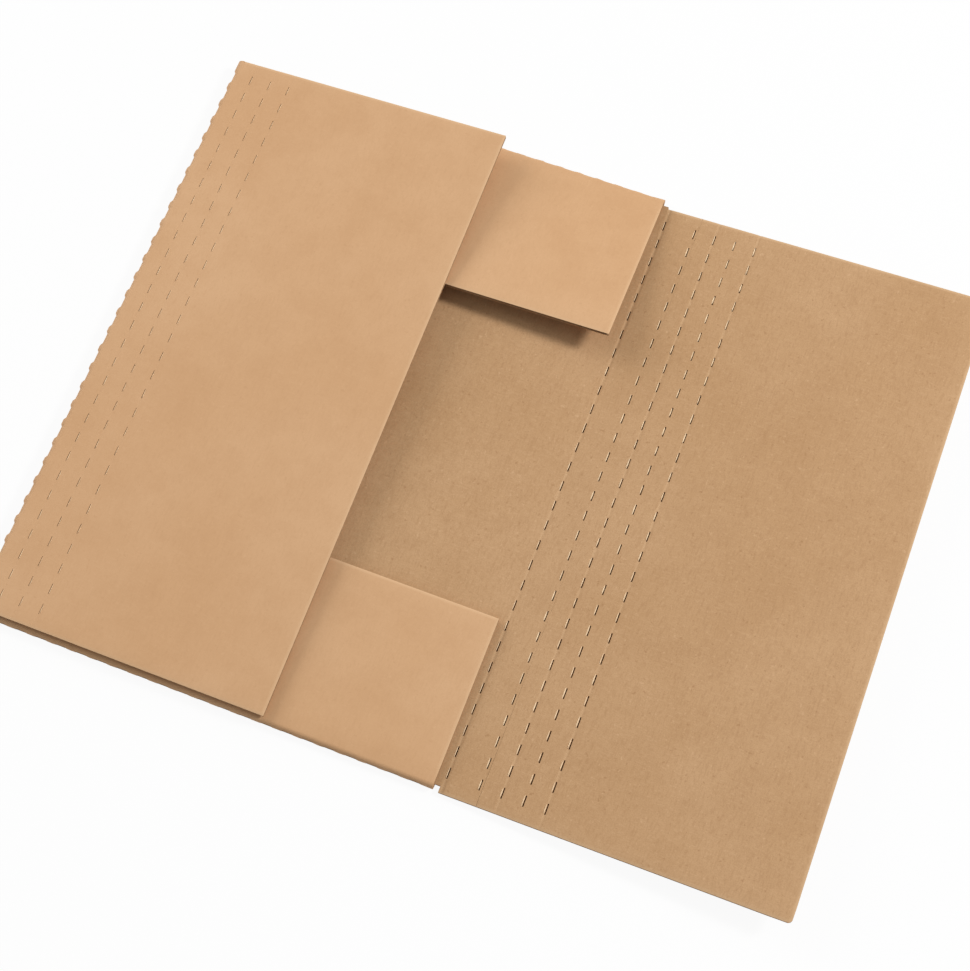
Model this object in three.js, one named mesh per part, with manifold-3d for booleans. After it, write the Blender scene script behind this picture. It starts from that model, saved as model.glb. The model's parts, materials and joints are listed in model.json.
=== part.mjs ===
// Wraparound mailer: one cross-shaped blank of corrugated board, lying partly folded.
// The base lies flat, both end flaps are folded in over it, the left wing is folded
// over the flaps and the right wing lies open, slightly raised by its crease.
// Millimetres, +Z up. The origin is the centre of the base panel's underside, +X runs
// from the folded wing to the open one and +Y along the crease lines.

import * as THREE from 'three';
import { mergeVertices } from 'three/addons/utils/BufferGeometryUtils.js';
import Module from 'manifold-3d';

const wasm = await Module();
wasm.setup();

// Driving dimensions
const board = 3.0; // thickness of the corrugated board
const baseWidth = 285.75; // between the creases of the two wings
const baseLength = 383.2; // over the noses of the two folded end flaps
const wingLength = 379.2; // of both wings, along the creases
const leftWingWidth = 180.7; // from its crease to its free edge, unfolded
const rightWingWidth = 197.8;
const farFlapDepth = 103.4; // of an end flap, from its folded nose to its free edge
const nearFlapDepth = 101.7;
const flapInset = 5.0; // of a flap's side edges from the wing creases
const leftWingShift = 1.2; // how far each wing lies off the middle of the base
const rightWingShift = -2.4;
const leftEdgeSkew = 1.1; // how much farther out each wing's free edge is at its near end
const rightEdgeSkew = 2.2;
const cornerRadius = 3.0; // of the open wing's free corners

// The flutes run along X and end at the cut edges that run along Y
const flutePitch = 6.35;
const fluteWidth = 4.4; // of a flute's hollow between the liners
const fluteHeight = 1.9;
const fluteReach = 1.5; // how far a hollow is followed in from the edge

// Perforated score lines: a rule that cuts a quarter inch and skips a quarter inch
const slitLength = 6.35;
const slitPitch = 12.7;
const slitWidth = 0.8;
const leftScores = [12.7, 25.4, 38.1]; // depth scores, from the wing's crease
const rightHingeScore = 19.05; // the first depth score of the open wing
const rightScores = [31.75, 44.45, 57.15]; // its further depth scores

// How the blank lies
const flapGap = 0.6; // between the base and a flap, at the crease
const restGap = 0.3; // between pieces that rest on each other
const noseReach = 3.45; // of the left fold's nose beyond the crease line
const foldTake = 2.0; // what the left fold takes up of the wing's width
const noseNotch = 1.5; // depth of a slit's notch in a folded nose
const farFlapRise = 7.9; // degrees, at the far flap's end by the open wing; none at its other end
const nearFlapRise = 0.4; // degrees, at the near flap's end by the open wing
const leftWingRiseFar = 3.9; // degrees, at the far end of the folded wing
const leftWingRiseNear = 0.4; // degrees, at its near end
const rightWingRise = 3.9; // degrees
const hingeGap = 0.3; // between two panels at the crease that joins them

// How finely the bent sheets are divided
const bendSteps = 3; // facets of a quarter bend
const flapRows = 4;
const baseColumns = 10;
const wingColumns = 6;
const wingRows = 12;
const cornerSteps = 4;
const weldDistance = 1e-4; // vertices nearer than this are one

const kraftOuter = { color: 0xd2a57a, roughness: 0.85, metalness: 0.0 };
const kraftInner = { color: 0xc19a6e, roughness: 0.9, metalness: 0.0 };

// Worked out from the values above
const halfWidth = baseWidth / 2;
const flapEdge = halfWidth - flapInset;
const leftBend = (flapGap + board + restGap) / 2; // inner radius of the left fold
const leftNose = -halfWidth - noseReach;
const leftBendX = leftNose + leftBend + board; // the middle of that bend
const leftBendZ = board + leftBend;
const flapBend = flapGap / 2;
const flapBendY = baseLength / 2 - flapBend - board;
const leftFreeEdge = leftWingWidth - halfWidth - foldTake;
const slitCount = Math.floor(wingLength / slitPitch);
const flapSlitCount = Math.floor(2 * flapEdge / slitPitch);
const radians = THREE.MathUtils.degToRad;

// Joins a grid of board cells into one closed body. columns and rows are positions on
// the flat blank, keep(column, row) says which cells are board, and place(u, v, depth)
// puts a point of the blank in space, depth 0 on the outer liner and board on the inner.
function boardSolid(columns, rows, keep, place) {
  const positions = [];
  const indices = [];
  const known = new Map();
  const vertex = (i, j, inner) => {
    const key = `${i},${j},${inner}`;
    if (!known.has(key)) {
      known.set(key, positions.length / 3);
      positions.push(...place(columns[i], rows[j], inner ? board : 0).toArray());
    }
    return known.get(key);
  };
  const quad = (a, b, c, d) => indices.push(a, b, c, a, c, d);
  const filled = (i, j) =>
    i >= 0 && j >= 0 && i < columns.length - 1 && j < rows.length - 1
    && keep((columns[i] + columns[i + 1]) / 2, (rows[j] + rows[j + 1]) / 2);
  for (let i = 0; i < columns.length - 1; i += 1) {
    for (let j = 0; j < rows.length - 1; j += 1) {
      if (!filled(i, j)) continue;
      const corners = [[i, j], [i + 1, j], [i + 1, j + 1], [i, j + 1]];
      const outer = corners.map(([a, b]) => vertex(a, b, false));
      const inner = corners.map(([a, b]) => vertex(a, b, true));
      quad(...inner);
      quad(...outer.toReversed());
      const besides = [[i, j - 1], [i + 1, j], [i, j + 1], [i - 1, j]];
      besides.forEach(([a, b], side) => {
        if (filled(a, b)) return;
        const next = (side + 1) % corners.length;
        quad(outer[side], outer[next], inner[next], inner[side]);
      });
    }
  }
  const geometry = new THREE.BufferGeometry();
  geometry.setAttribute('position', new THREE.Float32BufferAttribute(positions, 3));
  geometry.setIndex(indices);
  return geometry;
}

function toManifold(geometry) {
  const bare = geometry.clone();
  bare.deleteAttribute('normal');
  bare.deleteAttribute('uv');
  const merged = mergeVertices(bare, weldDistance);
  return new wasm.Manifold(new wasm.Mesh({
    numProp: 3,
    vertProperties: new Float32Array(merged.attributes.position.array),
    triVerts: new Uint32Array(merged.index.array),
  }));
}

function toGeometry(solid) {
  const mesh = solid.getMesh();
  const geometry = new THREE.BufferGeometry();
  geometry.setAttribute('position', new THREE.Float32BufferAttribute(mesh.vertProperties, 3));
  geometry.setIndex([...mesh.triVerts]);
  return geometry;
}

function cutAway(geometry, cutters) {
  let solid = toManifold(geometry);
  const tools = cutters.map(toManifold);
  for (const tool of tools) solid = solid.subtract(tool);
  return toGeometry(solid);
}

// count + 1 evenly spaced values from start to end
const steps = (start, end, count) =>
  Array.from({ length: count + 1 }, (_, i) => start + (end - start) * i / count);

// count places pitch apart, about a middle
const spread = (count, pitch, middle) =>
  Array.from({ length: count }, (_, i) => middle + (i - (count - 1) / 2) * pitch);

const leftSlits = spread(slitCount, slitPitch, leftWingShift);
const rightSlits = spread(slitCount, slitPitch, rightWingShift);
const flapSlits = spread(flapSlitCount, slitPitch, 0);

// The flutes that end along an edge of this length, clear of its corners
const flutes = (length, middle) =>
  spread(Math.floor(length / flutePitch) - 1, flutePitch, middle);

// An axis-aligned cutting block between two corners
function block(low, high) {
  const size = new THREE.Vector3().subVectors(high, low);
  const middle = new THREE.Vector3().addVectors(low, high).multiplyScalar(0.5);
  return new THREE.BoxGeometry(size.x, size.y, size.z).translate(middle.x, middle.y, middle.z);
}

const spare = 2; // how far a cutting block stands out past what it cuts
const slitDepth = 15; // more than the folded wing climbs across its scores

// A block that cuts one slit of a score line through a panel lying just above z = 0
const slitCutter = (x, y) => block(
  new THREE.Vector3(x - slitWidth / 2, y - slitLength / 2, -spare),
  new THREE.Vector3(x + slitWidth / 2, y + slitLength / 2, slitDepth),
);

// An outline drawn in Y and Z, extruded along +X from x = 0
function alongX(points, length) {
  const shape = new THREE.Shape(points.map(([y, z]) => new THREE.Vector2(y, z)));
  const solid = new THREE.ExtrudeGeometry(shape, { depth: length, bevelEnabled: false });
  return solid.applyMatrix4(new THREE.Matrix4().makeBasis(
    new THREE.Vector3(0, 1, 0), new THREE.Vector3(0, 0, 1), new THREE.Vector3(1, 0, 0),
  ));
}

// Cuts the hollow of one flute into an edge at x = 0 that faces +X, at mid-board
const fluteCutter = () => alongX([
  [-fluteWidth / 2, -fluteHeight / 2], [fluteWidth / 2, -fluteHeight / 2], [0, fluteHeight / 2],
], fluteReach + spare).translate(-fluteReach, 0, 0);

// The left fold is a U bend about (leftBendX, leftBendZ). Its lower quarter belongs to
// the base and its upper quarter to the wing; turn is 0 where the bend leaves the flat
// panel and a quarter turn at the nose.
const noseTurn = Math.PI / 2 - Math.asin(hingeGap / 2 / (leftBend + board));
function leftBendPoint(turn, y, radius, upDown) {
  return new THREE.Vector3(
    leftBendX - radius * Math.sin(turn),
    y,
    leftBendZ + upDown * radius * Math.cos(turn),
  );
}

// Columns left of the bend's start count the turn, in radians, back from leftBendX.
const noseColumns = steps(leftBendX - noseTurn, leftBendX, bendSteps);

// Blocks that notch the folded nose at each slit, where the board is cut through
function noseCutters() {
  return leftSlits.map((y) => block(
    new THREE.Vector3(leftNose - spare, y - slitLength / 2, -spare),
    new THREE.Vector3(leftNose + noseNotch, y + slitLength / 2, 2 * leftBendZ + spare),
  ));
}

// The base panel with both end flaps folded in over it: one sheet, bent round two noses
function baseAndFlaps() {
  const bendY = flapBendY;
  const noseArc = steps(0, 1, 2 * bendSteps); // shares of a flap's half turn
  const flapRun = (depth) => depth - flapBend - board; // its straight part
  const outward = (depth) => [
    ...noseArc.slice(1), ...steps(1, 1 + flapRun(depth), flapRows).slice(1),
  ].map((s) => bendY + s);
  const rows = [
    ...outward(nearFlapDepth).map((v) => -v).reverse(), -bendY, 0, bendY, ...outward(farFlapDepth),
  ];
  const columns = [
    ...noseColumns,
    ...steps(-flapEdge, flapEdge, baseColumns),
    halfWidth - hingeGap / 2,
  ];
  const keep = (u, v) => Math.abs(v) < bendY || Math.abs(u) < flapEdge;
  const flapRise = (u, v) =>
    radians((u + flapEdge) / (2 * flapEdge) * (v > 0 ? farFlapRise : nearFlapRise));
  const place = (u, v, depth) => {
    if (u < leftBendX) {
      return leftBendPoint(leftBendX - u, v, leftBend + board - depth, -1);
    }
    const past = Math.abs(v) - bendY;
    if (past <= 0) return new THREE.Vector3(u, v, depth);
    const rise = flapRise(u, v);
    const turn = Math.min(past, 1) * (Math.PI - rise);
    const radius = flapBend + board - depth;
    const run = Math.max(past - 1, 0);
    const y = bendY + radius * Math.sin(turn) + run * Math.cos(turn);
    const z = board + flapBend - radius * Math.cos(turn) + run * Math.sin(turn);
    return new THREE.Vector3(u, Math.sign(v) * y, z);
  };
  const geometry = boardSolid(columns, rows, keep, place);

  const edgeCutters = rightSlits.map((y) => block(
    new THREE.Vector3(halfWidth - slitWidth / 2, y - slitLength / 2, -spare),
    new THREE.Vector3(halfWidth + spare, y + slitLength / 2, board + spare),
  ));
  const fluteCutters = [[1, farFlapDepth], [-1, nearFlapDepth]].flatMap(([side, depth]) =>
    flutes(flapRun(depth), flapRun(depth) / 2).flatMap((run) => [1, -1].map((edge) => {
      const u = edge * flapEdge;
      const v = side * (bendY + 1 + run);
      return fluteCutter().rotateZ(edge > 0 ? 0 : Math.PI)
        .rotateX(-side * flapRise(u, v)).translate(...place(u, v, board / 2));
    })));
  return cutAway(geometry, [
    ...noseCutters(), ...edgeCutters, ...flapNoseCutters(), ...fluteCutters,
  ]);
}

// At each slit of an end flap's crease the nose is notched and open at its middle
function flapNoseCutters() {
  const tip = baseLength / 2;
  const height = 2 * (board + flapBend);
  const far = alongX([
    [tip - noseNotch, -spare], [tip + spare, -spare],
    [tip + spare, height + spare], [tip - noseNotch, height + spare],
    [tip - noseNotch, height / 2 + slitWidth / 2], [flapBendY, height / 2 + slitWidth / 2],
    [flapBendY, height / 2 - slitWidth / 2], [tip - noseNotch, height / 2 - slitWidth / 2],
  ], slitLength);
  return flapSlits.flatMap((x) => [0, Math.PI].map((turn) =>
    far.clone().translate(-slitLength / 2, 0, 0).rotateZ(turn).translate(x, 0, 0)));
}

// The left wing, folded over the end flaps: it leans on the raised far flap, so its free
// edge climbs from its near end to its far end
function leftWing() {
  const near = leftWingShift - wingLength / 2;
  const far = leftWingShift + wingLength / 2;
  const columns = [...noseColumns, ...steps(leftBendX, leftFreeEdge, wingColumns).slice(1)];
  const rows = steps(near, far, wingRows);
  const wingRise = (v) => radians(
    THREE.MathUtils.mapLinear(v, near, far, leftWingRiseNear, leftWingRiseFar),
  );
  const place = (u, v, depth) => {
    // the wing is upside down: its outer liner is on top
    const radius = leftBend + board - depth;
    if (u < leftBendX) return leftBendPoint(leftBendX - u, v, radius, 1);
    const run = u - leftBendX;
    const skew = run / (leftFreeEdge - leftBendX) * leftEdgeSkew
      * THREE.MathUtils.mapLinear(v, near, far, 0.5, -0.5);
    const rise = wingRise(v);
    return new THREE.Vector3(
      leftBendX + run * Math.cos(rise) + skew, v, leftBendZ + radius + run * Math.sin(rise),
    );
  };
  const geometry = boardSolid(columns, rows, () => true, place);
  turnInsideOut(geometry);
  const slitCutters = leftScores.flatMap((score) => leftSlits.map((y) => {
    const x = score - halfWidth - foldTake;
    return slitCutter(x, y).translate(0, 0, leftBendZ);
  }));
  const fluteCutters = flutes(wingLength, leftWingShift).map((y) =>
    fluteCutter().rotateY(-wingRise(y)).translate(...place(leftFreeEdge, y, board / 2)));
  return cutAway(geometry, [...noseCutters(), ...slitCutters, ...fluteCutters]);
}

// Swaps two corners of each triangle, so that its face points the other way
function turnInsideOut(geometry) {
  const corners = geometry.index.array;
  for (let i = 0; i < corners.length; i += 3) {
    [corners[i + 1], corners[i + 2]] = [corners[i + 2], corners[i + 1]];
  }
}

// A panel of the open wing, drawn flat: x runs from its crease at 0 and the slits along
// its hinged edges are notches in the outline
function openPanel({ start, end, slitEnds, radius, skew, scores }) {
  const near = -wingLength / 2;
  const far = wingLength / 2;
  const slits = spread(slitCount, slitPitch, 0);
  const notch = (slitWidth - hingeGap) / 2;
  const outline = new THREE.Shape();
  outline.moveTo(start, far);
  for (const y of slits.toReversed()) {
    outline.lineTo(start, y + slitLength / 2);
    outline.lineTo(start + notch, y + slitLength / 2);
    outline.lineTo(start + notch, y - slitLength / 2);
    outline.lineTo(start, y - slitLength / 2);
  }
  outline.lineTo(start, near);
  if (radius > 0) outline.absarc(end + skew / 2 - radius, near + radius, radius, -Math.PI / 2, 0, false);
  else outline.lineTo(end, near);
  if (slitEnds) {
    for (const y of slits) {
      outline.lineTo(end, y - slitLength / 2);
      outline.lineTo(end - notch, y - slitLength / 2);
      outline.lineTo(end - notch, y + slitLength / 2);
      outline.lineTo(end, y + slitLength / 2);
    }
  }
  if (radius > 0) outline.absarc(end - skew / 2 - radius, far - radius, radius, 0, Math.PI / 2, false);
  else outline.lineTo(end, far);
  const panel = new THREE.ExtrudeGeometry(outline, {
    depth: board, bevelEnabled: false, curveSegments: cornerSteps,
  });
  const fluteCutters = slitEnds ? [] : flutes(wingLength, 0).map((y) => fluteCutter()
    .translate(end + THREE.MathUtils.mapLinear(y, near, far, skew / 2, -skew / 2), y, board / 2));
  const slitCutters = scores.flatMap((x) => slits.map((y) => slitCutter(x, y)));
  return cutAway(panel, [...slitCutters, ...fluteCutters]);
}

function namedMesh(name, geometry, finish) {
  const mesh = new THREE.Mesh(geometry, new THREE.MeshStandardMaterial(finish));
  mesh.name = name;
  return mesh;
}

const mailer = new THREE.Group();
mailer.name = 'wraparound_mailer';
mailer.add(namedMesh('base_and_end_flaps', baseAndFlaps(), kraftInner));
mailer.add(namedMesh('left_wing', leftWing(), kraftOuter));

// The open wing turns about the inner face of its crease. Its first strip becomes the
// side wall of the closed mailer, and the rest its lid.
const openWing = new THREE.Group();
openWing.position.set(halfWidth, rightWingShift, board);
openWing.rotation.y = -radians(rightWingRise);
const sideWall = openPanel({
  start: hingeGap / 2, end: rightHingeScore - hingeGap / 2, slitEnds: true, radius: 0, skew: 0, scores: [],
});
const lid = openPanel({
  start: rightHingeScore + hingeGap / 2, end: rightWingWidth, slitEnds: false,
  radius: cornerRadius, skew: rightEdgeSkew, scores: rightScores,
});
for (const [name, geometry] of [['right_side_wall', sideWall], ['right_wing_lid', lid]]) {
  openWing.add(namedMesh(name, geometry.translate(0, 0, -board), kraftInner));
}
mailer.add(openWing);

export default mailer;
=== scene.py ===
import json
import math

import bpy
import numpy as np
from mathutils import Matrix, Vector


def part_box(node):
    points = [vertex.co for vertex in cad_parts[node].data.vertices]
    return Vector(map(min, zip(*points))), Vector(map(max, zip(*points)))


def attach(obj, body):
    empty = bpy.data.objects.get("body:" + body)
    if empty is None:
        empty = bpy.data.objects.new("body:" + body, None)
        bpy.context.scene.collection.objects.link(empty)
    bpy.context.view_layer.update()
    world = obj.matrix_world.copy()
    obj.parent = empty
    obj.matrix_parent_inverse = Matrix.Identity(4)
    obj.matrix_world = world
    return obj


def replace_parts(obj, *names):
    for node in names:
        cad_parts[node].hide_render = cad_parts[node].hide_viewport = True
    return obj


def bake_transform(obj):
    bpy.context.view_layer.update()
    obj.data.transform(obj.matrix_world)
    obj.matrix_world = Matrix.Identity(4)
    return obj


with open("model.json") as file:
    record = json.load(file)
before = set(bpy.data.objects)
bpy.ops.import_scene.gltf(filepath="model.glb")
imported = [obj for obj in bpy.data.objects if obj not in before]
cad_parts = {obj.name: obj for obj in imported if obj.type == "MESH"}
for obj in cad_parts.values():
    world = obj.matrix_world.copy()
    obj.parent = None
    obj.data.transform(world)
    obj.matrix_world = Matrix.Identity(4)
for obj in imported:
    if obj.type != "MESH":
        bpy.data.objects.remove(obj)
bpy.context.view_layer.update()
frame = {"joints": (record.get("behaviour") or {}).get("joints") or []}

mm = 0.001
joints = {joint["name"]: joint for joint in frame["joints"]}
creaseLeft = Vector(joints["left_wing_fold"]["pos_m"])
creaseRight = Vector(joints["right_wing_fold"]["pos_m"])
creaseDepth = Vector(joints["right_depth_fold"]["pos_m"])
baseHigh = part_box("base_and_end_flaps")[1]
leftLow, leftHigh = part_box("left_wing")
wallLow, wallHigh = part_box("right_side_wall")

board = {
    "thickness": creaseRight.z,  # the open wing turns about the inner face
    "liner": 0.35 * mm,
    "openFlutes": 2.4 * mm,  # how deep the flutes are seen at an edge that crosses them
    "recess": 0.7 * mm,  # how far the paper sits back at an edge along the flutes
    "crush": 0.35 * mm,  # pinched by the die at a cut edge
    "crushWidth": 2.2 * mm,
    "flutePitch": 6.35 * mm,
}
slits = {
    "length": 6.35 * mm,
    "pitch": 12.7 * mm,
    "width": 0.8 * mm,
    "seenWidth": 0.26 * mm,  # on the outer face of the folded wing
    "count": 29,
    "flapCount": 21,
    "groove": 0.28 * mm,  # pressed along the score line
    "grooveWidth": 0.9 * mm,
    "rubbedAndHighlit": 0.5 * mm,  # width of the painted highlight line beside a score where the sheet has been bent
}
creaseHalf = 1.6 * mm  # half the width of the strip that bends at a hinge crease

halfWidth = creaseRight.x  # of the base, from its middle to a crease
wingLength = leftHigh.y - leftLow.y


def slitMiddles(count, middle):
    return middle + (np.arange(count) - (count - 1) / 2) * slits["pitch"]


flaps = {
    "depths": (101.7 * mm, 103.4 * mm),  # near, far
    "rises": (0.4, 7.9),  # degrees, near and far, at the end by the open wing
    "inset": 5.0 * mm,  # from the wing crease to the flap's side
    "gap": 0.6 * mm,  # to the base, beside the nose
    "notches": (0.2 * mm, 0.6 * mm),  # near, far: how deep a slit draws the nose in
    "notchFade": 1.6 * mm,
    "noseCrush": 0.4 * mm,
    "slitShare": 0.1,  # half a slit's share of the way round the nose
    "noseSteps": 16,
}
flapBend = flaps["gap"] / 2
flapBendY = baseHigh.y - flapBend - board["thickness"]
flapEdge = halfWidth - flaps["inset"]
flapSlits = slitMiddles(slits["flapCount"], 0.0)


# Each place function puts a point of the flat blank in space: u, v on the sheet, and depth from
# its outer liner
def placeBase(u, v, depth):
    t = board["thickness"]
    past = np.abs(v) - flapBendY
    share = (u + flapEdge) / (2 * flapEdge)
    rise = np.radians(share * np.where(v > 0, flaps["rises"][1], flaps["rises"][0]))
    arc = flapBend + t / 2
    turn = np.clip(past / (math.pi * arc), 0, 1) * (math.pi - rise)
    run = np.maximum(past - math.pi * arc, 0)
    radius = flapBend + t - depth
    y = flapBendY + radius * np.sin(turn) + run * np.cos(turn)
    z = t + flapBend - radius * np.cos(turn) + run * np.sin(turn)
    flat = np.stack([u, v, depth], -1)
    bent = np.stack([u, np.sign(v) * y, z], -1)
    return np.where((past <= 0)[..., None], flat, bent)


foldedWing = {
    "rises": (0.4, 3.9),  # degrees, at its near and far end
    "skew": 1.1 * mm,  # how much farther out the free edge is at its near end
    "scores": [12.7 * mm, 25.4 * mm, 38.1 * mm],  # along the sheet from the crease
    "foldTake": 2.0 * mm,  # what the fold takes up of that length
    "grooveShare": 0.5,  # of the grooves of the open wing
    "lipScales": (0.5, 0.35, 0.42),
}
leftBend = creaseLeft.z - board["thickness"]  # inner radius of the fold
leftBendX = creaseLeft.x + creaseLeft.z
leftFree = leftHigh.x - foldedWing["skew"] / 2
leftScores = [score - halfWidth - foldedWing["foldTake"] for score in foldedWing["scores"]]
leftSlits = slitMiddles(slits["count"], (leftLow.y + leftHigh.y) / 2)


def placeLeft(u, v, depth):
    along = (v - leftLow.y) / wingLength
    nearRise, farRise = foldedWing["rises"]
    rise = np.radians(nearRise + (farRise - nearRise) * along)
    run = u - leftBendX
    skew = foldedWing["skew"] * (0.5 - along) * run / (leftFree - leftBendX)
    x = leftBendX + run * np.cos(rise) + skew
    z = creaseLeft.z + leftBend + board["thickness"] - depth + run * np.sin(rise)
    return np.stack([x, v, z], -1)


openWing = {
    "width": 197.8 * mm,
    "skew": 2.2 * mm,
    "corner": 3.0 * mm,
    "scores": [31.75 * mm, 44.45 * mm, 57.15 * mm],  # beyond the one that is a hinge
    "highlightShift": 0.3 * mm,  # of the painted highlight line beside a bent score, onto the side the light comes from
    # strength of the painted highlight line
    "highlightStrength": 0.5,
    "outerShare": 0.4,  # how much of the inner face's relief the outer one has
}
openRise = math.atan2(creaseDepth.z - creaseRight.z, creaseDepth.x - creaseRight.x)
openMiddle = (wallLow.y + wallHigh.y) / 2
openSlits = slitMiddles(slits["count"], openMiddle)
hingeScore = (creaseDepth - creaseRight).length
bentScores = [0.0, openWing["scores"][0], openWing["scores"][2]]


def placeOpen(u, v, depth):
    # across the crease strip the board turns smoothly from flat to the wing's rise
    share = np.clip((u + creaseHalf) / (2 * creaseHalf), 0, 1)
    turn = openRise * share * share * (3 - 2 * share)
    above = depth - board["thickness"]
    x = creaseRight.x + u * np.cos(turn) - above * np.sin(turn)
    z = creaseRight.z + u * np.sin(turn) + above * np.cos(turn)
    return np.stack([x, v, z], -1)


def placeLid(u, v, depth):
    # the square corner of the grid is drawn in to a round one
    r = openWing["corner"]
    du = np.clip(u - (openWing["width"] - r), 0, r)
    dv = np.clip(np.abs(v - openMiddle) - (wingLength / 2 - r), 0, r)
    length = np.hypot(du, dv)
    pull = np.where(length > 0, np.maximum(du, dv) / np.maximum(length, 1e-9), 1)
    rounded = np.abs(v - openMiddle) + dv * (pull - 1)
    v = openMiddle + np.sign(v - openMiddle) * rounded
    skew = openWing["skew"] * (openMiddle - v) / wingLength * u / openWing["width"]
    return placeOpen(u + du * (pull - 1) + skew, v, depth)


def bell(x, width):
    return np.exp(-((x / width) ** 2))


# How far the liner lies below its plane along the scores
def grooves(u, scores):
    depth = np.zeros(u.shape)
    for score in scores:
        depth = depth + slits["groove"] * bell(u - score, slits["grooveWidth"])
    return depth


# 1 at a cut edge, falling to 0 across the width that the die has crushed
def nearEdge(u, v, edges):
    near = np.zeros(u.shape)
    for axis, at in edges:
        distance = np.abs((u if axis == "u" else v) - at)
        near = np.maximum(near, np.clip(1 - distance / board["crushWidth"], 0, 1))
    return near


spacing = {
    "wing": 14 * mm,
    "base": 12 * mm,
    "flap": 10 * mm,
    "closest": 0.12 * mm,
    "onEdge": 0.1 * mm,  # how near a wall of the rim is to an edge that it belongs to
}


# Grid lines: coarse over open board, close together at scores, slits and edges
def gridLines(low, high, step, around=(), offsets=(0.0,)):
    lines = list(np.linspace(low, high, max(2, int(round((high - low) / step)) + 1)))
    for middle in around:
        lines += [middle + offset for offset in offsets]
    lines = sorted(x for x in lines if low - 1e-9 <= x <= high + 1e-9)
    fixed = {round(middle + offset, 9) for middle in around for offset in offsets}
    fixed |= {round(low, 9), round(high, 9)}
    kept = []
    for x in lines:
        exact = round(x, 9) in fixed
        if kept and x - kept[-1] < spacing["closest"]:
            if exact:
                kept[-1] = x
            continue
        kept.append(x)
    return np.array(kept)


# Offsets of the close lines, from a slit's middle and from an edge
acrossSlit = [s * mm for s in (-3.2, -2.0, -1.3, -0.85, -0.4, 0.4, 0.85, 1.3, 2.0, 3.2)]
alongSlit = [s * mm for s in (-3.9, -3.175, -2.6, 0.0, 2.6, 3.175, 3.9)]
intoEdge = [s * mm for s in (0.0, 0.5, 1.1, 2.0)]


def edgeLines(low, high):
    return [low + s for s in intoEdge] + [high - s for s in intoEdge]


# Builds one closed board body from a grid of cells. keep marks the cells that are board, place
# puts them in space, height gives the relief of the outer and inner liner, and recessed marks
# the walls of the rim where the flutes are open. closing moves the outer liner's points.
def boardPiece(name, us, vs, keep, place, height, recessed, materials, closing=None, wornAndHighlit=None):
    t, liner = board["thickness"], board["liner"]
    u, v = np.meshgrid(us, vs, indexing="ij")
    outer, inner = height(u, v)
    outerU = closing(u, v) if closing else u
    points = [place(outerU, v, -outer).reshape(-1, 3), place(u, v, t + inner).reshape(-1, 3)]
    columns, rows = len(us), len(vs)
    total = columns * rows
    index = np.arange(total).reshape(columns, rows)
    mask = keep(*np.meshgrid((us[1:] + us[:-1]) / 2, (vs[1:] + vs[:-1]) / 2, indexing="ij"))
    a, b = index[:-1, :-1][mask], index[1:, :-1][mask]
    c, d = index[1:, 1:][mask], index[:-1, 1:][mask]
    faces = [np.stack([a, d, c, b], -1), np.stack([a, b, c, d], -1) + total]
    slots = [np.zeros(len(a), int), np.ones(len(a), int)]
    # walls round the rim of the kept cells
    padded = np.pad(mask, 1)
    cells = padded[1:-1, 1:-1]
    rims = []
    for du, dv, first, second in ((0, -1, (0, 0), (1, 0)), (1, 0, (1, 0), (1, 1)),
                                  (0, 1, (1, 1), (0, 1)), (-1, 0, (0, 1), (0, 0))):
        beside = padded[1 + du:padded.shape[0] - 1 + du, 1 + dv:padded.shape[1] - 1 + dv]
        i, j = np.nonzero(cells & ~beside)
        p = index[i + first[0], j + first[1]]
        q = index[i + second[0], j + second[1]]
        middleU = (us[(i + first[0])] + us[(i + second[0])]) / 2
        middleV = (vs[(j + first[1])] + vs[(j + second[1])]) / 2
        rims.append((p, q, du, dv, recessed(middleU, middleV)))
    inward = np.zeros((total, 2))
    for p, q, du, dv, deep in rims:
        for end in (p, q):
            if du:
                inward[end[deep], 0] = -du
            if dv:
                inward[end[deep], 1] = -dv
    flatU, flatV = u.reshape(-1), v.reshape(-1)
    innerDepth = (t + inner).reshape(-1)
    outerDepth = -outer.reshape(-1)
    backU = flatU + inward[:, 0] * board["openFlutes"]
    backV = flatV + inward[:, 1] * board["recess"]
    levels = [
        place(flatU, flatV, outerDepth + liner),
        place(backU, backV, outerDepth + liner),
        place(backU, backV, innerDepth - liner),
        place(flatU, flatV, innerDepth - liner),
    ]
    points += levels
    for p, q, _, _, deep in rims:
        plain = ~deep
        faces.append(np.stack([p[plain], q[plain], q[plain] + total, p[plain] + total], -1))
        slots.append(np.full(plain.sum(), 2))
        chain = [0, 2, 3, 4, 5, 1]  # levels from the outer face, round the recess, to the inner face
        for level, (k, m) in enumerate(zip(chain[:-1], chain[1:])):
            quads = [p[deep] + k * total, q[deep] + k * total, q[deep] + m * total, p[deep] + m * total]
            faces.append(np.stack(quads, -1))
            slots.append(np.full(deep.sum(), 3 if level == 2 else 2))
    points, faces, slots = np.concatenate(points), np.concatenate(faces), np.concatenate(slots)
    used = np.unique(faces)
    remap = np.full(len(points), -1)
    remap[used] = np.arange(len(used))
    # per point: scuffing near cut edges, and on the open wing also painted highlight beside the bent
    # scores
    wearAndHighlight = np.zeros(len(points))
    if wornAndHighlit:
        wearAndHighlight[:2 * total] = np.tile(wornAndHighlit(u, v).reshape(-1), 2)
    return meshPiece(name, points[used], remap[faces], slots, materials, wearAndHighlight[used])


# The rule cuts wide where it enters the inner liner, and the outer one closes behind it, up to
# the width that is left
def shutSlits(scores, middles, left=0.0):
    tolerance = 0.02 * mm

    def closing(u, v):
        out = u.copy()
        nearest = np.abs(v[..., None] - middles).min(-1) < slits["length"] / 2 + tolerance
        for score in scores:
            rim = (np.abs(np.abs(u - score) - slits["width"] / 2) < tolerance) & nearest
            out = np.where(rim, score + np.sign(u - score) * left / 2, out)
        return out
    return closing


sharpAngle = 38  # degrees, from which an edge is drawn sharp


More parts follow.
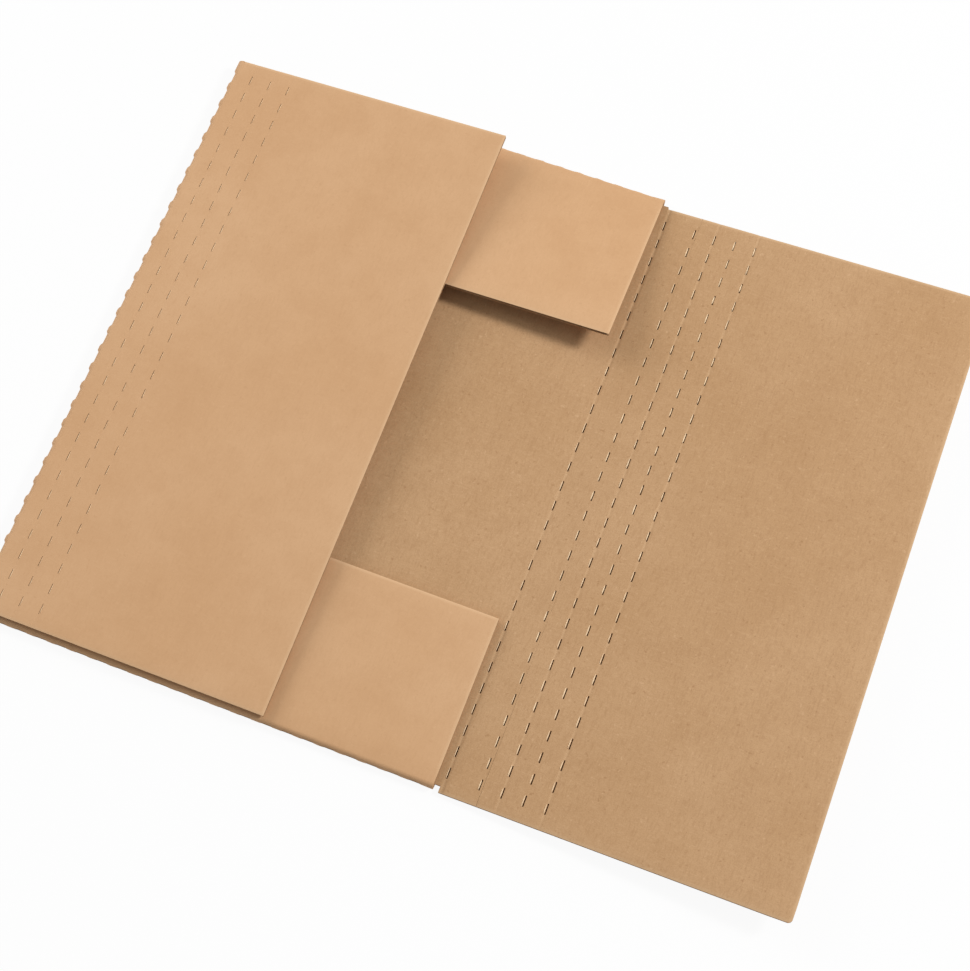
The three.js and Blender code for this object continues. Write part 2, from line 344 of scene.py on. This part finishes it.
def meshPiece(name, points, faces, slots, materials, wearAndHighlight):
    mesh = bpy.data.meshes.new(name)
    mesh.from_pydata(points.tolist(), [], faces.tolist())
    for material in materials:
        mesh.materials.append(material)
    mesh.polygons.foreach_set("material_index", np.asarray(slots, np.int32))
    mesh.polygons.foreach_set("use_smooth", np.ones(len(mesh.polygons), bool))
    mesh.attributes.new("wearAndHighlight", "FLOAT", "POINT").data.foreach_set("value", wearAndHighlight.astype(np.float32))
    mesh.update()
    mesh.set_sharp_from_angle(angle=math.radians(sharpAngle))
    piece = bpy.data.objects.new(name, mesh)
    bpy.context.scene.collection.objects.link(piece)
    return piece


# Materials
def linear(red, green, blue):
    parts = [c / 255 for c in (red, green, blue)]
    return tuple(c / 12.92 if c <= 0.04045 else ((c + 0.055) / 1.055) ** 2.4 for c in parts) + (1.0,)


def link(tree, source, target):
    tree.links.new(source, target)


def addNode(tree, kind, **settings):
    node = tree.nodes.new(kind)
    for key, value in settings.items():
        setattr(node, key, value)
    return node


def mathNode(tree, operation, one, two=None):
    node = addNode(tree, "ShaderNodeMath", operation=operation)
    for socket, value in zip(node.inputs, (one, two)):
        if isinstance(value, (int, float)):
            socket.default_value = value
        elif value is not None:
            link(tree, value, socket)
    return node.outputs[0]


# Kraft paper seen close: cloudy tone, pulp fibres and flecks, as a colour and a height
def kraftGroup():
    group = bpy.data.node_groups.new("kraftPaper", "ShaderNodeTree")
    face = group.interface
    face.new_socket("Base", in_out="INPUT", socket_type="NodeSocketColor")
    face.new_socket("Dark", in_out="INPUT", socket_type="NodeSocketColor")
    face.new_socket("Light", in_out="INPUT", socket_type="NodeSocketColor")
    for name, value in (("Cloud", 0.5), ("Grain", 0.5), ("Flecks", 0.5), ("Washboard", 0.1)):
        socket = face.new_socket(name, in_out="INPUT", socket_type="NodeSocketFloat")
        socket.default_value = value
    face.new_socket("Color", in_out="OUTPUT", socket_type="NodeSocketColor")
    face.new_socket("Height", in_out="OUTPUT", socket_type="NodeSocketFloat")
    into = addNode(group, "NodeGroupInput")
    out = addNode(group, "NodeGroupOutput")
    where = addNode(group, "ShaderNodeTexCoord")

    def noise(scale, detail, roughness, stretch=(1, 1, 1), turn=0.0):
        mapping = addNode(group, "ShaderNodeMapping")
        mapping.inputs["Scale"].default_value = stretch
        mapping.inputs["Rotation"].default_value = (0, 0, turn)
        link(group, where.outputs["Object"], mapping.inputs["Vector"])
        texture = addNode(group, "ShaderNodeTexNoise")
        texture.inputs["Scale"].default_value = scale
        texture.inputs["Detail"].default_value = detail
        texture.inputs["Roughness"].default_value = roughness
        link(group, mapping.outputs["Vector"], texture.inputs["Vector"])
        return texture.outputs["Fac"]

    def ramp(source, low, high):
        node = addNode(group, "ShaderNodeMapRange", interpolation_type="SMOOTHSTEP")
        node.inputs["From Min"].default_value = low
        node.inputs["From Max"].default_value = high
        link(group, source, node.inputs["Value"])
        return node.outputs["Result"]

    def multiply(one, two):
        return mathNode(group, "MULTIPLY", one, two)

    def blendColor(factor, one, two):
        node = addNode(group, "ShaderNodeMix", data_type="RGBA")
        link(group, factor, node.inputs["Factor"])
        link(group, one, node.inputs["A"])
        link(group, two, node.inputs["B"])
        return node.outputs["Result"]

    cloud = ramp(noise(9.0, 4.0, 0.55), 0.3, 0.7)
    fineCloud = ramp(noise(55.0, 3.0, 0.6), 0.35, 0.7)
    fibres = ramp(noise(900.0, 3.0, 0.6, (0.25, 1.0, 1.0), 0.5), 0.45, 0.75)
    crossFibres = ramp(noise(850.0, 3.0, 0.6, (1.0, 0.25, 1.0), -0.4), 0.45, 0.75)
    grain = ramp(noise(1500.0, 2.0, 0.7), 0.35, 0.7)
    darkFlecks = ramp(noise(420.0, 2.0, 0.5), 0.66, 0.74)
    lightFlecks = ramp(noise(510.0, 2.0, 0.5, (1.0, 0.7, 1.0)), 0.66, 0.76)
    dark, light = into.outputs["Dark"], into.outputs["Light"]
    softCloud = multiply(into.outputs["Cloud"], 0.35)
    softGrain = multiply(into.outputs["Grain"], 0.5)
    colour = blendColor(multiply(cloud, into.outputs["Cloud"]), into.outputs["Base"], light)
    colour = blendColor(multiply(fineCloud, softCloud), colour, dark)
    colour = blendColor(multiply(fibres, softGrain), colour, light)
    colour = blendColor(multiply(crossFibres, softGrain), colour, dark)
    colour = blendColor(multiply(grain, softGrain), colour, dark)
    colour = blendColor(multiply(darkFlecks, into.outputs["Flecks"]), colour, dark)
    colour = blendColor(multiply(lightFlecks, into.outputs["Flecks"]), colour, light)
    # the flutes under the liner show as faint ridges along X
    wave = addNode(group, "ShaderNodeTexWave", bands_direction="Y", wave_profile="SIN")
    wavesPerUnit = 20 / (2 * math.pi)  # of a wave texture whose scale is 1
    wave.inputs["Scale"].default_value = 1 / (wavesPerUnit * board["flutePitch"])
    wave.inputs["Distortion"].default_value = 0.0
    link(group, where.outputs["Object"], wave.inputs["Vector"])
    washboard = multiply(wave.outputs["Fac"], into.outputs["Washboard"])
    pulp = multiply(mathNode(group, "ADD", fibres, grain), softGrain)
    height = mathNode(group, "ADD", pulp, washboard)
    link(group, colour, out.inputs["Color"])
    link(group, height, out.inputs["Height"])
    return group


kraftPaper = kraftGroup()
creamWearAndHighlight = (226, 192, 152)  # cream of scuffed paper at crushed cut edges, also used for the painted highlight beside the bent scores
wearAndHighlightShare = 0.45  # of it in the colour where the cut edges are most scuffed and where the painted highlight is strongest
bumpDepth = 0.1 * mm


def kraftMaterial(name, base, dark, light, cloud, grain, flecks, washboard, roughness, bump):
    material = bpy.data.materials.new(name)
    material.use_nodes = True
    tree = material.node_tree
    shader = tree.nodes["Principled BSDF"]
    shader.inputs["Roughness"].default_value = roughness
    shader.inputs["Specular IOR Level"].default_value = 0.25
    paper = addNode(tree, "ShaderNodeGroup", node_tree=kraftPaper)
    for socket, value in (("Base", linear(*base)), ("Dark", linear(*dark)), ("Light", linear(*light)),
                          ("Cloud", cloud), ("Grain", grain), ("Flecks", flecks),
                          ("Washboard", washboard)):
        paper.inputs[socket].default_value = value
    relief = addNode(tree, "ShaderNodeBump")
    relief.inputs["Strength"].default_value = bump
    relief.inputs["Distance"].default_value = bumpDepth
    link(tree, paper.outputs["Height"], relief.inputs["Height"])
    link(tree, relief.outputs["Normal"], shader.inputs["Normal"])
    # the cream mixed in by this attribute is scuffing at crushed cut edges, and painted highlight
    # beside the bent scores of the open wing
    wearAndHighlight = addNode(tree, "ShaderNodeAttribute", attribute_name="wearAndHighlight")
    rubbedAndHighlit = addNode(tree, "ShaderNodeMix", data_type="RGBA")
    rubbedAndHighlit.inputs["B"].default_value = linear(*creamWearAndHighlight)
    link(tree, mathNode(tree, "MULTIPLY", wearAndHighlight.outputs["Fac"], wearAndHighlightShare), rubbedAndHighlit.inputs["Factor"])
    link(tree, paper.outputs["Color"], rubbedAndHighlit.inputs["A"])
    link(tree, rubbedAndHighlit.outputs["Result"], shader.inputs["Base Color"])
    return material


outerLiner = kraftMaterial(
    "outerLiner", (209, 165, 122), (192, 146, 103), (221, 180, 139),
    cloud=0.5, grain=0.35, flecks=0.25, washboard=0.12, roughness=0.7, bump=0.35)
innerLiner = kraftMaterial(
    "innerLiner", (192, 152, 110), (164, 122, 82), (212, 174, 134),
    cloud=0.4, grain=0.6, flecks=0.5, washboard=0.2, roughness=0.8, bump=0.5)
cutEdge = kraftMaterial(
    "cutEdge", (183, 140, 98), (140, 100, 66), (214, 176, 136),
    cloud=0.4, grain=0.8, flecks=0.6, washboard=0.0, roughness=0.9, bump=0.6)
flutePaper = kraftMaterial(
    "flutePaper", (160, 128, 96), (122, 92, 66), (186, 152, 118),
    cloud=0.4, grain=0.8, flecks=0.6, washboard=0.0, roughness=0.9, bump=0.6)
tornFibre = kraftMaterial(
    "tornFibre", (240, 208, 168), (214, 176, 132), (250, 226, 192),
    cloud=0.4, grain=0.5, flecks=0.2, washboard=0.0, roughness=0.9, bump=0.5)
boardMaterials = [outerLiner, innerLiner, cutEdge, flutePaper]


def slitMask(u, v, scores, middles):
    cut = np.zeros(u.shape, bool)
    nearest = np.abs(v[..., None] - middles).min(-1)
    for score in scores:
        cut |= (np.abs(u - score) < slits["width"] / 2) & (nearest < slits["length"] / 2)
    return cut


# Geometry Nodes: a tree with named inputs, and a mesh made from it for one body
def newTree(name, sockets):
    tree = bpy.data.node_groups.new(name, "GeometryNodeTree")
    tree.interface.new_socket("Geometry", in_out="INPUT", socket_type="NodeSocketGeometry")
    for label, kind in sockets:
        tree.interface.new_socket(label, in_out="INPUT", socket_type="NodeSocket" + kind)
    tree.interface.new_socket("Geometry", in_out="OUTPUT", socket_type="NodeSocketGeometry")
    return tree, addNode(tree, "NodeGroupInput"), addNode(tree, "NodeGroupOutput")


def growPiece(name, tree, base, values):
    source = bpy.data.objects.new(name + "Path", base)
    bpy.context.scene.collection.objects.link(source)
    modifier = source.modifiers.new("nodes", "NODES")
    modifier.node_group = tree
    for item in tree.interface.items_tree:
        if item.in_out == "INPUT" and item.name in values:
            modifier[item.identifier] = values[item.name]
    view = bpy.context.evaluated_depsgraph_get()
    mesh = bpy.data.meshes.new_from_object(source.evaluated_get(view), depsgraph=view)
    bpy.data.objects.remove(source)
    mesh.name = name
    return mesh


# The fluted paper seen in a cut edge: a wave along Y, reaching in along -X from x = 0
def fluteTree():
    tree, into, out = newTree("flutedPaper", (
        ("Length", "Float"), ("Reach", "Float"), ("Pitch", "Float"), ("Height", "Float"),
        ("Paper", "Float"), ("Steps", "Int"), ("Finish", "Material")))
    get = into.outputs
    grid = addNode(tree, "GeometryNodeMeshGrid")
    link(tree, get["Reach"], grid.inputs["Size X"])
    link(tree, get["Length"], grid.inputs["Size Y"])
    grid.inputs["Vertices X"].default_value = 2
    pitches = mathNode(tree, "DIVIDE", get["Length"], get["Pitch"])
    rows = mathNode(tree, "MULTIPLY", pitches, get["Steps"])
    link(tree, rows, grid.inputs["Vertices Y"])
    position = addNode(tree, "GeometryNodeInputPosition")
    apart = addNode(tree, "ShaderNodeSeparateXYZ")
    link(tree, position.outputs[0], apart.inputs[0])
    along = mathNode(tree, "DIVIDE", apart.outputs["Y"], get["Pitch"])
    sine = mathNode(tree, "SINE", mathNode(tree, "MULTIPLY", along, 2 * math.pi))
    rise = mathNode(tree, "MULTIPLY", sine, mathNode(tree, "MULTIPLY", get["Height"], 0.5))
    inward = mathNode(tree, "MULTIPLY", get["Reach"], -0.5)
    offset = addNode(tree, "ShaderNodeCombineXYZ")
    link(tree, inward, offset.inputs["X"])
    link(tree, rise, offset.inputs["Z"])
    wave = addNode(tree, "GeometryNodeSetPosition")
    link(tree, grid.outputs["Mesh"], wave.inputs["Geometry"])
    link(tree, offset.outputs[0], wave.inputs["Offset"])
    thick = addNode(tree, "GeometryNodeExtrudeMesh", mode="FACES")
    thick.inputs["Individual"].default_value = False
    link(tree, wave.outputs[0], thick.inputs["Mesh"])
    link(tree, get["Paper"], thick.inputs["Offset Scale"])
    under = addNode(tree, "GeometryNodeFlipFaces")
    link(tree, wave.outputs[0], under.inputs["Mesh"])
    joined = addNode(tree, "GeometryNodeJoinGeometry")
    link(tree, thick.outputs["Mesh"], joined.inputs[0])
    link(tree, under.outputs[0], joined.inputs[0])
    weld = addNode(tree, "GeometryNodeMergeByDistance")
    weld.inputs["Distance"].default_value = 1e-6
    link(tree, joined.outputs[0], weld.inputs["Geometry"])
    real = addNode(tree, "GeometryNodeRealizeInstances")
    link(tree, weld.outputs[0], real.inputs[0])
    finish = addNode(tree, "GeometryNodeSetMaterial")
    link(tree, real.outputs[0], finish.inputs["Geometry"])
    link(tree, get["Finish"], finish.inputs["Material"])
    link(tree, finish.outputs[0], out.inputs[0])
    return tree


# Torn lips along a score line: one beside each slit, of uneven length and height
def lipTree():
    tree, into, out = newTree("tornLips", (
        ("Count", "Int"), ("Length", "Float"), ("Width", "Float"), ("Height", "Float"),
        ("Uneven", "Float"), ("Seed", "Int"), ("Finish", "Material")))
    get = into.outputs
    path = addNode(tree, "GeometryNodeMeshToCurve")
    link(tree, get["Geometry"], path.inputs["Mesh"])
    points = addNode(tree, "GeometryNodeResampleCurve")
    link(tree, path.outputs[0], points.inputs["Curve"])
    link(tree, get["Count"], points.inputs["Count"])
    ball = addNode(tree, "GeometryNodeMeshUVSphere")
    ball.inputs["Segments"].default_value = 12
    ball.inputs["Rings"].default_value = 8
    ball.inputs["Radius"].default_value = 0.5
    size = addNode(tree, "ShaderNodeCombineXYZ")
    link(tree, get["Width"], size.inputs["X"])
    link(tree, get["Length"], size.inputs["Y"])
    link(tree, get["Height"], size.inputs["Z"])
    spread = addNode(tree, "FunctionNodeRandomValue", data_type="FLOAT_VECTOR")
    link(tree, mathNode(tree, "SUBTRACT", 1.0, get["Uneven"]), spread.inputs["Min"])
    larger = mathNode(tree, "MULTIPLY", get["Uneven"], 0.3)
    link(tree, mathNode(tree, "ADD", 1.0, larger), spread.inputs["Max"])
    link(tree, get["Seed"], spread.inputs["Seed"])
    scale = addNode(tree, "ShaderNodeVectorMath", operation="MULTIPLY")
    link(tree, size.outputs[0], scale.inputs[0])
    link(tree, spread.outputs["Value"], scale.inputs[1])
    lips = addNode(tree, "GeometryNodeInstanceOnPoints")
    link(tree, points.outputs[0], lips.inputs["Points"])
    link(tree, ball.outputs["Mesh"], lips.inputs["Instance"])
    link(tree, scale.outputs[0], lips.inputs["Scale"])
    real = addNode(tree, "GeometryNodeRealizeInstances")
    link(tree, lips.outputs[0], real.inputs[0])
    finish = addNode(tree, "GeometryNodeSetMaterial")
    link(tree, real.outputs[0], finish.inputs["Geometry"])
    link(tree, get["Finish"], finish.inputs["Material"])
    link(tree, finish.outputs[0], out.inputs[0])
    return tree


flutes = {
    "pitch": board["flutePitch"],
    "paper": 0.22 * mm,
    "steps": 10,  # points to a flute
    "clear": 0.8 * mm,  # kept from the ends of an edge
    "overlap": 0.2 * mm,  # past the back of the slot that they fill
    "set": 0.15 * mm,  # back from the cut edge
}
lips = {
    "length": 6.8 * mm,
    "width": 0.8 * mm,
    "height": 0.5 * mm,
    "beside": 0.52 * mm,  # from the score line
    "uneven": 0.25,
}
flutedPaper = fluteTree()
tornLips = lipTree()


def asPoint(place, u, v, depth):
    return Vector(place(np.array([u]), np.array([v]), np.array([depth]))[0])


# A row of flutes along the cut edge at u, from v0 to v1. outward is +1 or -1 along u.
def fluteEdge(name, body, place, u, v0, v1, outward):
    middle = board["thickness"] / 2
    v0, v1 = v0 + flutes["clear"], v1 - flutes["clear"]
    low, high = asPoint(place, u, v0, middle), asPoint(place, u, v1, middle)
    inside = asPoint(place, u - outward * 5 * mm, (v0 + v1) / 2, middle)  # tells which way is out
    along = (high - low).normalized()
    out = (low + high) / 2 - inside
    out = (out - along * out.dot(along)).normalized()
    turn = Matrix((out, along, out.cross(along))).transposed().to_4x4()
    room = board["thickness"] - 2 * board["liner"] - 2 * board["crush"] - flutes["paper"]
    mesh = growPiece(name, flutedPaper, bpy.data.meshes.new(name), {
        "Length": (high - low).length, "Reach": board["openFlutes"] + flutes["overlap"],
        "Pitch": flutes["pitch"], "Height": room, "Paper": flutes["paper"],
        "Steps": flutes["steps"], "Finish": flutePaper})
    mesh.transform(Matrix.Translation((low + high) / 2 - out * flutes["set"]) @ turn)
    addPiece(name, mesh, body)


# Lips beside the slits of one score line; side is the side of the line they stand on
def lipRow(name, body, place, u, middles, depth, side, scale, seed):
    ends = [asPoint(place, u + side * lips["beside"], v, depth) for v in (middles[0], middles[-1])]
    path = bpy.data.meshes.new(name)
    path.from_pydata([tuple(end) for end in ends], [(0, 1)], [])
    mesh = growPiece(name, tornLips, path, {
        "Count": len(middles), "Length": lips["length"], "Width": lips["width"] * scale,
        "Height": lips["height"] * scale, "Uneven": lips["uneven"], "Seed": seed,
        "Finish": tornFibre})
    addPiece(name, mesh, body)


def addPiece(name, mesh, body):
    for polygon in mesh.polygons:
        polygon.use_smooth = True
    piece = bpy.data.objects.new(name, mesh)
    bpy.context.scene.collection.objects.link(piece)
    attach(piece, body)


# Base panel with both end flaps, one sheet bent round two noses
def makeBase():
    t = board["thickness"]
    arc = math.pi * (flapBend + t / 2)
    ends = [flapBendY + arc + depth - flapBend - t for depth in flaps["depths"]]  # near, far
    edge = halfWidth - creaseHalf
    us = gridLines(leftBendX, edge, spacing["base"], flapSlits, alongSlit)
    us = np.unique(np.round(np.concatenate([us, edgeLines(-flapEdge, flapEdge)]), 7))
    us = us[(us > leftBendX - 1e-6) & (us < edge + 1e-6)]
    flat = gridLines(-flapBendY, flapBendY, spacing["base"])
    bend = flapBendY + arc * np.linspace(0, 1, flaps["noseSteps"] + 1)[1:]
    halves = []
    for end in ends:
        straight = gridLines(flapBendY + arc, end, spacing["flap"], [end], [-s for s in intoEdge])[1:]
        halves.append(np.concatenate([bend, straight]))
    vs = np.concatenate([-halves[0][::-1], flat, halves[1]])

    def keep(u, v):
        past = np.abs(v) - flapBendY
        nearest = np.abs(u[..., None] - flapSlits).min(-1)
        opened = (np.abs(past / arc - 0.5) < flaps["slitShare"]) & (nearest < slits["length"] / 2)
        return ((past < 0) | (np.abs(u) < flapEdge)) & ~opened

    def wornAndHighlit(u, v):
        edges = [("u", -flapEdge), ("u", flapEdge), ("v", -ends[0]), ("v", ends[1])]
        return nearEdge(u, v, edges) * (np.abs(v) > flapBendY + arc)

    def height(u, v):
        past = np.clip((np.abs(v) - flapBendY) / arc, 0, 1)
        nose = np.sin(np.pi * past) ** 2
        nearest = np.abs(u[..., None] - flapSlits).min(-1)
        fade = flaps["notchFade"]
        onSlit = np.clip((slits["length"] / 2 + fade - nearest) / fade, 0, 1)
        notch = np.where(v > 0, flaps["notches"][1], flaps["notches"][0]) * nose * onSlit
        pinch = board["crush"] * wornAndHighlit(u, v) ** 2
        return -notch - pinch, -flaps["noseCrush"] * nose - pinch

    def recessed(u, v):
        near = spacing["onEdge"]
        sides = (np.abs(np.abs(u) - flapEdge) < near) & (np.abs(v) > flapBendY + arc)
        return sides | (v < near - ends[0]) | (v > ends[1] - near)

    piece = boardPiece("baseAndFlaps", us, vs, keep, placeBase, height, recessed, boardMaterials,
                       wornAndHighlit=wornAndHighlit)
    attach(piece, "base")
    for side, name, end in ((-1, "near", ends[0]), (1, "far", ends[1])):
        span = sorted((side * (flapBendY + arc), side * end))
        for outward, edgeName in ((1, "Right"), (-1, "Left")):
            fluteEdge(name + "Flap" + edgeName + "Flutes", "base", placeBase, outward * flapEdge,
                      *span, outward)
    return piece


def makeLeftWing():
    us = gridLines(leftBendX, leftFree, spacing["wing"], leftScores, acrossSlit)
    us = np.unique(np.round(np.concatenate([us, leftFree - np.array(intoEdge)]), 7))
    vs = gridLines(leftLow.y, leftHigh.y, spacing["wing"], leftSlits, alongSlit)
    vs = np.unique(np.round(np.concatenate([vs, edgeLines(leftLow.y, leftHigh.y)]), 7))
    edges = [("u", leftFree), ("v", leftLow.y), ("v", leftHigh.y)]

    def keep(u, v):
        return ~slitMask(u, v, leftScores, leftSlits)

    def wornAndHighlit(u, v):
        return nearEdge(u, v, edges)

    def height(u, v):
        down = foldedWing["grooveShare"] * grooves(u, leftScores) + board["crush"] * wornAndHighlit(u, v) ** 2
        return -down, -down

    def recessed(u, v):
        near = spacing["onEdge"]
        return (u > leftFree - near) | (v < leftLow.y + near) | (v > leftHigh.y - near)

    piece = boardPiece("leftWing", us, vs, keep, placeLeft, height, recessed, boardMaterials,
                       shutSlits(leftScores, leftSlits, slits["seenWidth"]), wornAndHighlit)
    piece.data.flip_normals()  # folding has turned the wing's grid over
    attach(piece, "left_wing")
    fluteEdge("leftWingFlutes", "left_wing", placeLeft, leftFree, leftLow.y, leftHigh.y, 1)
    for number, (score, scale) in enumerate(zip(leftScores, foldedWing["lipScales"])):
        lipRow("leftWingLips%d" % number, "left_wing", placeLeft, score, leftSlits, 0.0, 1,
               scale, number)
    return piece


# One panel of the open wing, from start to end across it
def openPanel(name, start, end, outerEdge):
    near, far = openMiddle - wingLength / 2, openMiddle + wingLength / 2
    scores = [0.0, hingeScore] + openWing["scores"]
    reach = 4 * mm  # a score this near has grid lines inside the panel
    around = [score for score in scores if start - reach < score < end + reach]
    us = gridLines(start, end, spacing["wing"], around, acrossSlit)
    if outerEdge:
        us = np.unique(np.round(np.concatenate([us, end - np.array(intoEdge)]), 7))
    vs = gridLines(near, far, spacing["wing"], openSlits, alongSlit)
    vs = np.unique(np.round(np.concatenate([vs, edgeLines(near, far)]), 7))
    edges = [("v", near), ("v", far)] + ([("u", end)] if outerEdge else [])

    def keep(u, v):
        return ~slitMask(u, v, scores, openSlits)

    def wornAndHighlit(u, v):
        # painted highlight: a light line on the lit side of each bent score, standing in for light
        # caught by the pressed ridge; the cut edges get real scuffing
        rubbedAndHighlit = sum(bell(u - score + openWing["highlightShift"], slits["rubbedAndHighlit"]) for score in bentScores)
        return np.maximum(nearEdge(u, v, edges), openWing["highlightStrength"] * rubbedAndHighlit)

    def height(u, v):
        down = grooves(u, bentScores) + board["crush"] * nearEdge(u, v, edges) ** 2
        return -openWing["outerShare"] * down, -down

    def recessed(u, v):
        onEdge = spacing["onEdge"]
        sides = (v < near + onEdge) | (v > far - onEdge)
        return sides | ((u > end - onEdge) & outerEdge)

    return boardPiece(name, us, vs, keep, placeLid if outerEdge else placeOpen, height, recessed,
                      boardMaterials, shutSlits(scores, openSlits), wornAndHighlit)


def makeOpenWing():
    wall = openPanel("sideWall", creaseHalf, hingeScore - creaseHalf, False)
    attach(wall, "right_wall")
    lid = openPanel("wingLid", hingeScore + creaseHalf, openWing["width"], True)
    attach(lid, "right_lid")
    inner = board["thickness"]
    lipRow("creaseLips", "base", placeOpen, 0.0, openSlits, inner, -1, 0.8, 11)
    lipRow("wallLips", "right_wall", placeOpen, hingeScore, openSlits, inner, -1, 1.0, 12)
    for number, score in enumerate(openWing["scores"]):
        lipRow("lidLips%d" % number, "right_lid", placeOpen, score, openSlits, inner, -1, 1.0,
               13 + number)
    straight = wingLength / 2 - openWing["corner"]
    fluteEdge("lidFlutes", "right_lid", placeLid, openWing["width"], openMiddle - straight,
              openMiddle + straight, 1)
    return wall, lid


# The creases of the open wing, which bend between two bodies
def makeCreases():
    crease = openPanel("openWingCrease", -creaseHalf, creaseHalf, False)
    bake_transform(crease)
    lidCrease = openPanel("lidCrease", hingeScore - creaseHalf, hingeScore + creaseHalf, False)
    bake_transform(lidCrease)


leftNose = {
    "steps": 20,
    "slitTurn": 0.13,  # half a slit's width round the nose, in radians
    "notch": 1.3 * mm,
    "notchFade": 1.8 * mm,
    "crush": 1.0 * mm,
}
alongNotch = [s * mm for s in (-5.0, -4.2, -3.6, -3.175, -2.0, 0, 2.0, 3.175, 3.6, 4.2, 5.0)]


# The nose of the left fold: board crushed thin at the crease and notched at each slit
def makeLeftNose():
    t = board["thickness"]
    turns = np.linspace(-math.pi / 2, math.pi / 2, leftNose["steps"] + 1)
    vs = gridLines(leftLow.y, leftHigh.y, spacing["wing"], leftSlits, alongNotch)
    vs = np.unique(np.round(np.append(vs, [-flapBendY, flapBendY]), 7))

    def place(turn, v, depth):
        x = leftBendX - (leftBend + t - depth) * np.cos(turn)
        z = creaseLeft.z + (leftBend + t - depth) * np.sin(turn)
        return np.stack([x, v, z], -1)

    def keep(turn, v):
        nearest = np.abs(v[..., None] - leftSlits).min(-1)
        opened = (np.abs(turn) < leftNose["slitTurn"]) & (nearest < slits["length"] / 2)
        return ~opened & ((turn > 0) | (np.abs(v) < flapBendY))

    def height(turn, v):
        nearest = np.abs(v[..., None] - leftSlits).min(-1)
        fade = leftNose["notchFade"]
        onSlit = np.clip((slits["length"] / 2 + fade - nearest) / fade, 0, 1)
        onSlit = onSlit * onSlit * (3 - 2 * onSlit)
        nose = np.cos(turn) ** 2
        return -leftNose["notch"] * nose * onSlit, -leftNose["crush"] * nose

    piece = boardPiece("leftFoldNose", turns, vs, keep, place, height,
                       lambda u, v: np.zeros(len(u), bool), boardMaterials)
    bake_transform(piece)


print("base and end flaps")
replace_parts(makeBase(), "base_and_end_flaps")
print("folded wing")
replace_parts(makeLeftWing(), "left_wing")
print("open wing")
wallPiece, lidPiece = makeOpenWing()
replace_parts(wallPiece, "right_side_wall")
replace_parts(lidPiece, "right_wing_lid")
print("creases")
makeCreases()
makeLeftNose()


# Floor, light and camera
print("stage")
studio = {
    "floorSize": 6.0,
    "floorDrop": 0.3 * mm,
    "whiteShare": 0.93,  # how far the seen floor is plain white; the rest shows the shadow
    "aim": (0.09, 0, 0),  # about the mailer's middle
    "worldLevel": 0.33,
    "lamps": (  # where from, metres away, watts, side of the square
        ((-0.80, 0.28, 0.42), 2.2, 23.5, 1.2),
        ((0.69, 0.36, 0.63), 2.6, 51.5, 0.5),
    ),
}
camera = {
    "place": (halfWidth + 0.11824, -0.32247, 0.98525),
    "azimuth": 27.672,
    "elevation": 70.674,
    "roll": -6.852,
    "lens": 66.77,
    "shiftY": -0.0005,
}


def makeFloor():
    half = studio["floorSize"] / 2
    square = ((-1, -1), (1, -1), (1, 1), (-1, 1))
    corners = [(x * half, y * half, -studio["floorDrop"]) for x, y in square]
    mesh = bpy.data.meshes.new("floor")
    mesh.from_pydata(corners, [], [(0, 1, 2, 3)])
    floor = bpy.data.objects.new("floor", mesh)
    bpy.context.scene.collection.objects.link(floor)
    material = bpy.data.materials.new("paleFloor")
    material.use_nodes = True
    tree = material.node_tree
    shader = tree.nodes["Principled BSDF"]
    shader.inputs["Base Color"].default_value = (0.85, 0.85, 0.85, 1)
    shader.inputs["Roughness"].default_value = 0.9
    white = addNode(tree, "ShaderNodeEmission")
    white.inputs["Strength"].default_value = 1.0
    path = addNode(tree, "ShaderNodeLightPath")
    mix = addNode(tree, "ShaderNodeMixShader")
    seen = mathNode(tree, "MAXIMUM", path.outputs["Is Camera Ray"], path.outputs["Is Glossy Ray"])
    seen = mathNode(tree, "MAXIMUM", seen, path.outputs["Is Transmission Ray"])
    link(tree, mathNode(tree, "MULTIPLY", seen, studio["whiteShare"]), mix.inputs[0])
    link(tree, shader.outputs[0], mix.inputs[1])
    link(tree, white.outputs[0], mix.inputs[2])
    link(tree, mix.outputs[0], tree.nodes["Material Output"].inputs["Surface"])
    mesh.materials.append(material)


def makeLight():
    for number, (fromWhere, away, watts, side) in enumerate(studio["lamps"]):
        lamp = bpy.data.lights.new("softbox%d" % number, "AREA")
        lamp.energy = watts
        lamp.size = side
        box = bpy.data.objects.new(lamp.name, lamp)
        toLight = Vector(fromWhere).normalized()
        box.location = Vector(studio["aim"]) + toLight * away
        box.rotation_euler = (-toLight).to_track_quat("-Z", "Y").to_euler()
        bpy.context.scene.collection.objects.link(box)
    world = bpy.data.worlds.new("studio")
    world.use_nodes = True
    world.node_tree.nodes["Background"].inputs["Color"].default_value = (1, 1, 1, 1)
    world.node_tree.nodes["Background"].inputs["Strength"].default_value = studio["worldLevel"]
    bpy.context.scene.world = world


def makeCamera():
    eye = bpy.data.objects.new("camera", bpy.data.cameras.new("camera"))
    eye.data.lens = camera["lens"]
    eye.data.shift_y = camera["shiftY"]
    turn = Matrix.Rotation(math.radians(camera["azimuth"]), 4, "Z")
    tilt = Matrix.Rotation(math.radians(90 - camera["elevation"]), 4, "X")
    roll = Matrix.Rotation(math.radians(camera["roll"]), 4, "Z")
    eye.matrix_world = Matrix.Translation(camera["place"]) @ turn @ tilt @ roll
    bpy.context.scene.collection.objects.link(eye)
    bpy.context.scene.camera = eye


makeFloor()
makeLight()
makeCamera()
bpy.context.scene.view_settings.view_transform = "Standard"
